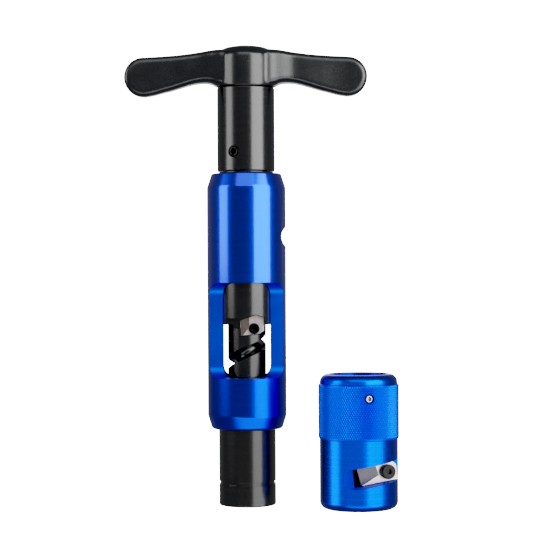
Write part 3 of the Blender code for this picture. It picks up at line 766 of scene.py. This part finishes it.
def arm_outline():
    """Both arms from the front: nearly straight on top, dipping to round tips, and arched below."""
    top_z = HANDLE_HIGH.z
    tip_x = radius_of(HANDLE_LOW, HANDLE_HIGH) - TIP_R
    turns = [math.radians(92 - 189 * step / 24) for step in range(25)]
    tip = [Vector((tip_x + TIP_R * math.cos(turn), TIP_Z + TIP_R * math.sin(turn))) for turn in turns]
    top = smooth_path([(0.0000, top_z - 0.0020), (0.0130, top_z - 0.0020), (0.0178, top_z - 0.0025),
                       (0.0220, top_z - 0.0032), (0.0304, top_z - 0.0043), (0.0397, top_z - 0.0050),
                       tip[0]], 5)
    under = smooth_path([tip[-1], (0.0443, top_z - 0.0237), (0.0397, top_z - 0.0225),
                         (0.0350, top_z - 0.0213), (0.0304, top_z - 0.0199), (0.0258, top_z - 0.0186),
                         (0.0220, top_z - 0.0180), (0.0183, top_z - 0.0180), (0.0158, top_z - 0.0186),
                         (0.0145, top_z - 0.0194), (0.0120, top_z - 0.0197)], 4)
    right = top[:-1] + tip[:-1] + under
    left = [Vector((-point.x, point.y)) for point in reversed(right[1:])]
    return right + left


def taper_arms(mesh):
    """Thickens the arms towards the hub."""
    profile = smooth_path(ARM_THICKNESS, 8)
    places = np.empty(len(mesh.vertices) * 3)
    mesh.vertices.foreach_get("co", places)
    places = places.reshape(-1, 3)
    distances = [point.x for point in profile]
    thickness = np.interp(np.abs(places[:, 0]), distances, [point.y for point in profile])
    places[:, 1] *= thickness / ARM_END_THICKNESS
    mesh.vertices.foreach_set("co", places.ravel())


def remesh(obj):
    """Rebuilds a solid, or several that overlap, as one even mesh."""
    modifier = obj.modifiers.new("remesh", "REMESH")
    modifier.mode = "VOXEL"
    modifier.voxel_size = 0.00042
    apply_modifiers(obj)


def arms_solid():
    curve = bpy.data.curves.new("arms", "CURVE")
    curve.dimensions = "2D"
    curve.fill_mode = "BOTH"
    curve.extrude = ARM_END_THICKNESS - EDGE_R
    curve.bevel_depth = EDGE_R
    curve.bevel_resolution = 6
    curve.offset = -EDGE_R
    outline = arm_outline()
    spline = curve.splines.new("POLY")
    spline.points.add(len(outline) - 1)
    spline.use_cyclic_u = True
    for point, (x, z) in zip(spline.points, outline):
        point.co = (x, z, 0, 1)
    arms_curve = add_object("arms_curve", curve)
    mesh = evaluated_mesh(arms_curve)
    bpy.data.objects.remove(arms_curve)
    mesh.transform(FACING_FRONT)
    arms = add_object("arms", mesh)
    remesh(arms)
    taper_arms(arms.data)
    arms.data.transform(at(TOOL))
    return arms


def hub_solid():
    top = HANDLE_HIGH.z
    hub_r = (HANDLE_HIGH.y - HANDLE_LOW.y) / 2
    profile = rounded([(0, top), (0.0060, top - 0.0002), (0.0110, top - 0.0012, 0.004),
                       (hub_r, top - 0.0046, 0.003), (hub_r, HUB_BASE_Z, 0.0003), (0, HUB_BASE_Z)])
    return lathe("handle_body", profile, TOOL, segments=128)


def merge(obj, other):
    """Joins the other object's mesh to the first and removes it."""
    both = bmesh.new()
    both.from_mesh(obj.data)
    both.from_mesh(other.data)
    both.to_mesh(obj.data)
    both.free()
    bpy.data.objects.remove(other)
    remesh(obj)


def soften(handle):
    """Smooths the corners between hub and arms a lot, and the whole handle a little."""
    fillet = handle.vertex_groups.new(name="fillet")
    start, full = FILLET_DEPTH
    for vertex in handle.data.vertices:
        beside = abs(abs(vertex.co.x - TOOL.x) - FILLET_X)
        depth = abs(vertex.co.y - TOOL.y)
        share = min(1.0, max(0.0, (depth - start) / (full - start)))
        fillet.add([vertex.index], max(0.0, 1 - beside / FILLET_HALF_WIDTH) * share, "REPLACE")
    for group, iterations in (("fillet", 60), ("", 7)):
        smooth = handle.modifiers.new("smooth", "SMOOTH")
        smooth.factor = 0.5
        smooth.iterations = iterations
        smooth.vertex_group = group
    apply_modifiers(handle)


def make_handle():
    handle = hub_solid()
    merge(handle, arms_solid())
    soften(handle)
    low, high = HUB_BASE_Z - 0.002, STUD_BORE_TOP_Z
    bore = [(0, high), (STUD_BORE_R, high), (STUD_BORE_R, low), (0, low)]
    carve(handle, [lathe("stud_hole", bore, TOOL, segments=48)])
    shade(handle, 50)
    settle(handle, "drive", ["t_handle"], HANDLE_BLACK)


# ---------------------------------------------------------------- sleeve

def sleeve_point(shape, index, radius, z):
    angle = math.tau * index / KNURL_POINTS
    return shape.verts.new((SLEEVE.x + radius * math.cos(angle), SLEEVE.y + radius * math.sin(angle), z))


def groove_crossings(shape, heights):
    """The points where the knurl's grooves cross. The first and the last row also have those in between."""
    rows = []
    for row, z in enumerate(heights):
        full = row in (0, KNURL_ROWS)
        rows.append([sleeve_point(shape, index, KNURL_VALLEY_R, z) if full or (index + row) % 2 == 0 else None
                     for index in range(KNURL_POINTS)])
    return rows


def knurl(shape, below, above):
    """The band between two rings: a lattice of truncated pyramids between the grooves of two helices."""
    start = KNURL_Z[0] + KNURL_DEPTH
    step = (KNURL_Z[1] - KNURL_Z[0] - 2 * KNURL_DEPTH) / KNURL_ROWS
    heights = [start + step * row for row in range(KNURL_ROWS + 1)]
    grooves = groove_crossings(shape, heights)
    join_rows(shape, (below, grooves[0]))
    join_rows(shape, (above, grooves[-1]))
    crest = ((-KNURL_CREST, 0), (0, KNURL_CREST), (KNURL_CREST, 0), (0, -KNURL_CREST))
    for row in range(1, KNURL_ROWS):
        for index in range(KNURL_POINTS):
            if (index + row) % 2 == 0:
                continue
            around = (grooves[row][index - 1], grooves[row + 1][index],
                      grooves[row][(index + 1) % KNURL_POINTS], grooves[row - 1][index])
            top = [sleeve_point(shape, index + du, KNURL_R, heights[row] + dv * step) for du, dv in crest]
            shape.faces.new(top)
            join_rows(shape, (around, top))
    for row, beside in ((grooves[0], grooves[1]), (grooves[-1], grooves[-2])):
        for index in range(KNURL_POINTS):
            after = (index + 1) % KNURL_POINTS
            shape.faces.new((row[index], row[after], beside[index] or beside[after]))


def sleeve_solid():
    low, high = KNURL_Z
    top = SLEEVE_HIGH.z
    corners = [(SLEEVE_R, low), (SLEEVE_R, 0, 0.0036), (SLEEVE_BORE_R, 0, 0.0005),
               (SLEEVE_BORE_R, SLEEVE_SOCKET_FLOOR), (SLEEVE_SOCKET_R, SLEEVE_SOCKET_FLOOR),
               (SLEEVE_SOCKET_R, top, 0.0003), (SLEEVE_NECK_R, top, 0.0038), (SLEEVE_NECK_R, high)]
    shape = bmesh.new()
    rings = [[sleeve_point(shape, index, radius, z) for index in range(KNURL_POINTS)]
             for radius, z in rounded(corners, steps=8)]
    join_rows(shape, rings)
    knurl(shape, rings[0], rings[-1])
    bmesh.ops.recalc_face_normals(shape, faces=shape.faces)
    return object_from(shape, "sleeve_body")


def slot_cutters():
    """The slot that the blade lies in, the ramp at its round end, and the hole for the blade's screw."""
    place = slot_frame()
    half, reach = SLOT_WIDTH / 2, SLEEVE_CUTTER_R
    slot = prism("slot", [(RAMP_FOOT, -half), (reach, -half), (reach, half), (RAMP_FOOT, half)], SLOT_FLOOR,
                 reach, place)
    end = rounded([(RAMP_END, -half, half * 0.999), (RAMP_FOOT + TINY, -half), (RAMP_FOOT + TINY, half),
                   (RAMP_END, half, half * 0.999)], steps=16)
    rise = math.tan(math.radians(RAMP_ANGLE))
    ramp = prism("ramp", end, SLOT_FLOOR + rise * RAMP_FOOT, reach, place, slope=(-rise, 0))
    hole = prism("hole", circle(SLEEVE_BLADE_HOLE_R, 40, (SLEEVE_BLADE_SCREW_U, 0)), SLOT_FLOOR - 0.0012,
                 SLOT_FLOOR + 0.001, place)
    return [slot, ramp, hole]


def break_slot_edges(sleeve):
    """Rounds the sharp edges where the slot opens in the sleeve's outside."""
    shape = bmesh.new()
    shape.from_mesh(sleeve.data)
    weights = shape.edges.layers.float.new("bevel_weight_edge")
    for edge in shape.edges:
        middle = (edge.verts[0].co + edge.verts[1].co) / 2
        outside = from_axis(middle, SLEEVE) > SLEEVE_R - 0.0003
        if outside and SLOT_LOWEST_Z < middle.z < KNURL_Z[0] and edge.calc_face_angle(0) > math.radians(30):
            edge[weights] = 1.0
    shape.to_mesh(sleeve.data)
    shape.free()
    bevel = sleeve.modifiers.new("edges", "BEVEL")
    bevel.limit_method = "WEIGHT"
    bevel.width = 0.00025
    bevel.segments = 2
    apply_modifiers(sleeve)


def make_sleeve():
    sleeve = sleeve_solid()
    holes = [screw_hole(f"sleeve_set_screw_{number}") for number in (1, 2)]
    carve(sleeve, [*slot_cutters(), *holes])
    break_slot_edges(sleeve)
    shade(sleeve, 30)
    settle(sleeve, "sleeve", ["sleeve"], SLEEVE_BLUE)
    low, high = KNURL_Z
    bore_r = SLEEVE_BORE_R + 0.0001
    paint_faces(sleeve, KNURL_BLUE, lambda middle, _: low < middle.z < high
                and from_axis(middle, SLEEVE) > KNURL_VALLEY_R - 0.0002)
    paint_faces(sleeve, SLOT_BLUE, lambda middle, _: SLOT_LOWEST_Z < middle.z < low - 0.0005
                and bore_r < from_axis(middle, SLEEVE) < SLEEVE_R - 0.0003)
    # Painted shade: the faces of the bore below the socket get the near-black blue.
    paint_faces(sleeve, BORE_PAINTED_SHADE_BLUE, lambda middle, _: middle.z < SLEEVE_SOCKET_FLOOR - 0.0001
                and from_axis(middle, SLEEVE) < bore_r)


# ---------------------------------------------------------------- hidden nodes

def finish_hidden_nodes():
    """Nodes inside the tool keep their mesh and get their material."""
    for node, material in (("bush_upper", BRONZE), ("bush_lower", BRONZE), ("thrust_washer_lower", STEEL),
                           ("handle_stud", STEEL)):
        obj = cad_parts[node]
        obj.data.materials.clear()
        obj.data.materials.append(material)


# ---------------------------------------------------------------- studio

BACKDROP_GLOW = 5.0
BACKDROP_SEGMENTS = 96
FILM_BLACK = 0.009
FILM_WHITE = 4.0
FILM_RESPONSE = ((0.05, 0.05), (0.2, 0.2), (0.5, 0.46), (1.0, 0.66), (1.75, 0.82), (2.6, 0.93))

# The camera's place is measured from the tool's axis. Its roll is in degrees.
CAMERA_SENSOR = 36.0
CAMERA_LENS = 112.582
CAMERA_SIDE = 0.01373
CAMERA_DISTANCE = 0.833
CAMERA_HEIGHT = 0.1109
CAMERA_ROLL = 0.3


def backdrop_profile():
    """A level floor, a bend of a quarter turn and a wall, as (radius, z)."""
    floor_r, bend, wall_z = 1.7, 0.5, 2.6
    turns = [math.radians(angle) for angle in range(6, 91, 6)]
    curve = [(floor_r + bend * math.sin(turn), bend - bend * math.cos(turn)) for turn in turns]
    return [(0.0, -TINY), (floor_r, -TINY), *curve, (floor_r + bend, wall_z)]


def make_backdrop():
    """A pale floor that curves up into a wall all round, outside every camera's place."""
    shape = bmesh.new()
    angles = [math.tau * step / BACKDROP_SEGMENTS for step in range(BACKDROP_SEGMENTS)]
    rings = [[shape.verts.new((radius * math.cos(angle), radius * math.sin(angle), z)) for angle in angles]
             for radius, z in backdrop_profile()]
    join_rows(shape, rings)
    bmesh.ops.remove_doubles(shape, verts=shape.verts, dist=TINY / 10)
    backdrop = object_from(shape, "backdrop")
    backdrop.data.shade_smooth()
    nodes = Nodes("pale_paper")
    colour = nodes.ramp(nodes.noise(3.0, 2.0), [(0.3, (0.86, 0.86, 0.86)), (0.7, (0.89, 0.89, 0.89))])
    nodes.set(Base_Color=colour, Roughness=0.9, Emission_Strength=BACKDROP_GLOW,
              Emission_Color=(1, 1, 1, 1))
    backdrop.data.materials.append(nodes.material)
    backdrop.visible_glossy = False
    backdrop.visible_diffuse = False
    backdrop.visible_shadow = False


def softbox(name, azimuth, distance, height, size, radiance, aim_z=None):
    """A soft light that faces the tool, level or aimed at a height. Azimuth 0 is in front, 90 the right."""
    light = bpy.data.lights.new(name, "AREA")
    light.shape = "RECTANGLE"
    light.size, light.size_y = size
    light.energy = radiance * math.pi * size[0] * size[1]
    lamp = add_object(name, light)
    turn = math.radians(azimuth)
    lamp.location = (distance * math.sin(turn), -distance * math.cos(turn), height)
    aim = Vector((0, 0, height if aim_z is None else aim_z)) - lamp.location
    lamp.rotation_euler = aim.to_track_quat("-Z", "Y").to_euler()
    return lamp


def light_only(lamp, pieces):
    """Flags a softbox, so that it lights only these pieces."""
    group = bpy.data.collections.new(lamp.name + "_pieces")
    for piece in pieces:
        group.objects.link(piece)
    lamp.light_linking.receiver_collection = group


def set_film():
    """A camera's response: straight in the darker tones, and rolling off slowly towards white."""
    view = bpy.context.scene.view_settings
    view.view_transform = "Standard"
    view.use_curve_mapping = True
    mapping = view.curve_mapping
    mapping.black_level = (FILM_BLACK,) * 3
    mapping.white_level = (FILM_WHITE,) * 3
    curve = mapping.curves[3]
    for light, shown in FILM_RESPONSE:
        curve.points.new(light / FILM_WHITE, shown)
    mapping.update()


def make_lights():
    """Softboxes on both sides, above, below and behind. Two more light the sleeve only."""
    softbox("right_upper_softbox", 48, 1.1, 0.54, (1.05, 0.92), 6.8)
    softbox("right_lower_softbox", 48, 1.1, -0.22, (1.05, 0.60), 3.4)
    softbox("left_softbox", -70, 1.1, 0.44, (0.55, 0.68), 4.8)
    left_lower = softbox("left_lower_softbox", -76, 1.1, -0.15, (0.62, 0.42), 4.6)
    front_fill = softbox("front_fill_softbox", -6, 1.1, 0.02, (2.20, 0.60), 0.6)
    light_only(left_lower, PIECES["sleeve"])
    light_only(front_fill, PIECES["sleeve"])
    softbox("front_top_softbox", -3, 1.0, 0.95, (1.15, 0.85), 2.0, aim_z=0.12)
    softbox("front_low_softbox", 14, 0.9, -0.62, (2.40, 0.45), 2.8, aim_z=0.05)
    softbox("back_softbox", 180, 1.3, 0.45, (0.55, 1.2), 1.2)


def make_world():
    world = bpy.data.worlds.new("studio")
    bpy.context.scene.world = world
    world.use_nodes = True
    world.node_tree.nodes["Background"].inputs["Color"].default_value = (0.19, 0.195, 0.20, 1)


def make_camera():
    """Level, in front of the tool at about half its height, with a slight roll."""
    data = bpy.data.cameras.new("camera")
    data.sensor_width = CAMERA_SENSOR
    data.lens = CAMERA_LENS
    camera = add_object("camera", data)
    camera.location = (TOOL.x + CAMERA_SIDE, TOOL.y - CAMERA_DISTANCE, CAMERA_HEIGHT)
    camera.rotation_euler = (math.pi / 2, math.radians(CAMERA_ROLL), 0)
    bpy.context.scene.camera = camera


make_housing()
make_guide_tube()
make_upper_washer()
make_collar()
make_spindle()
make_set_screws()
make_stripping_blade()
make_handle()
make_sleeve()
make_sleeve_blade()
finish_hidden_nodes()
make_backdrop()
make_lights()
make_world()
set_film()
make_camera()
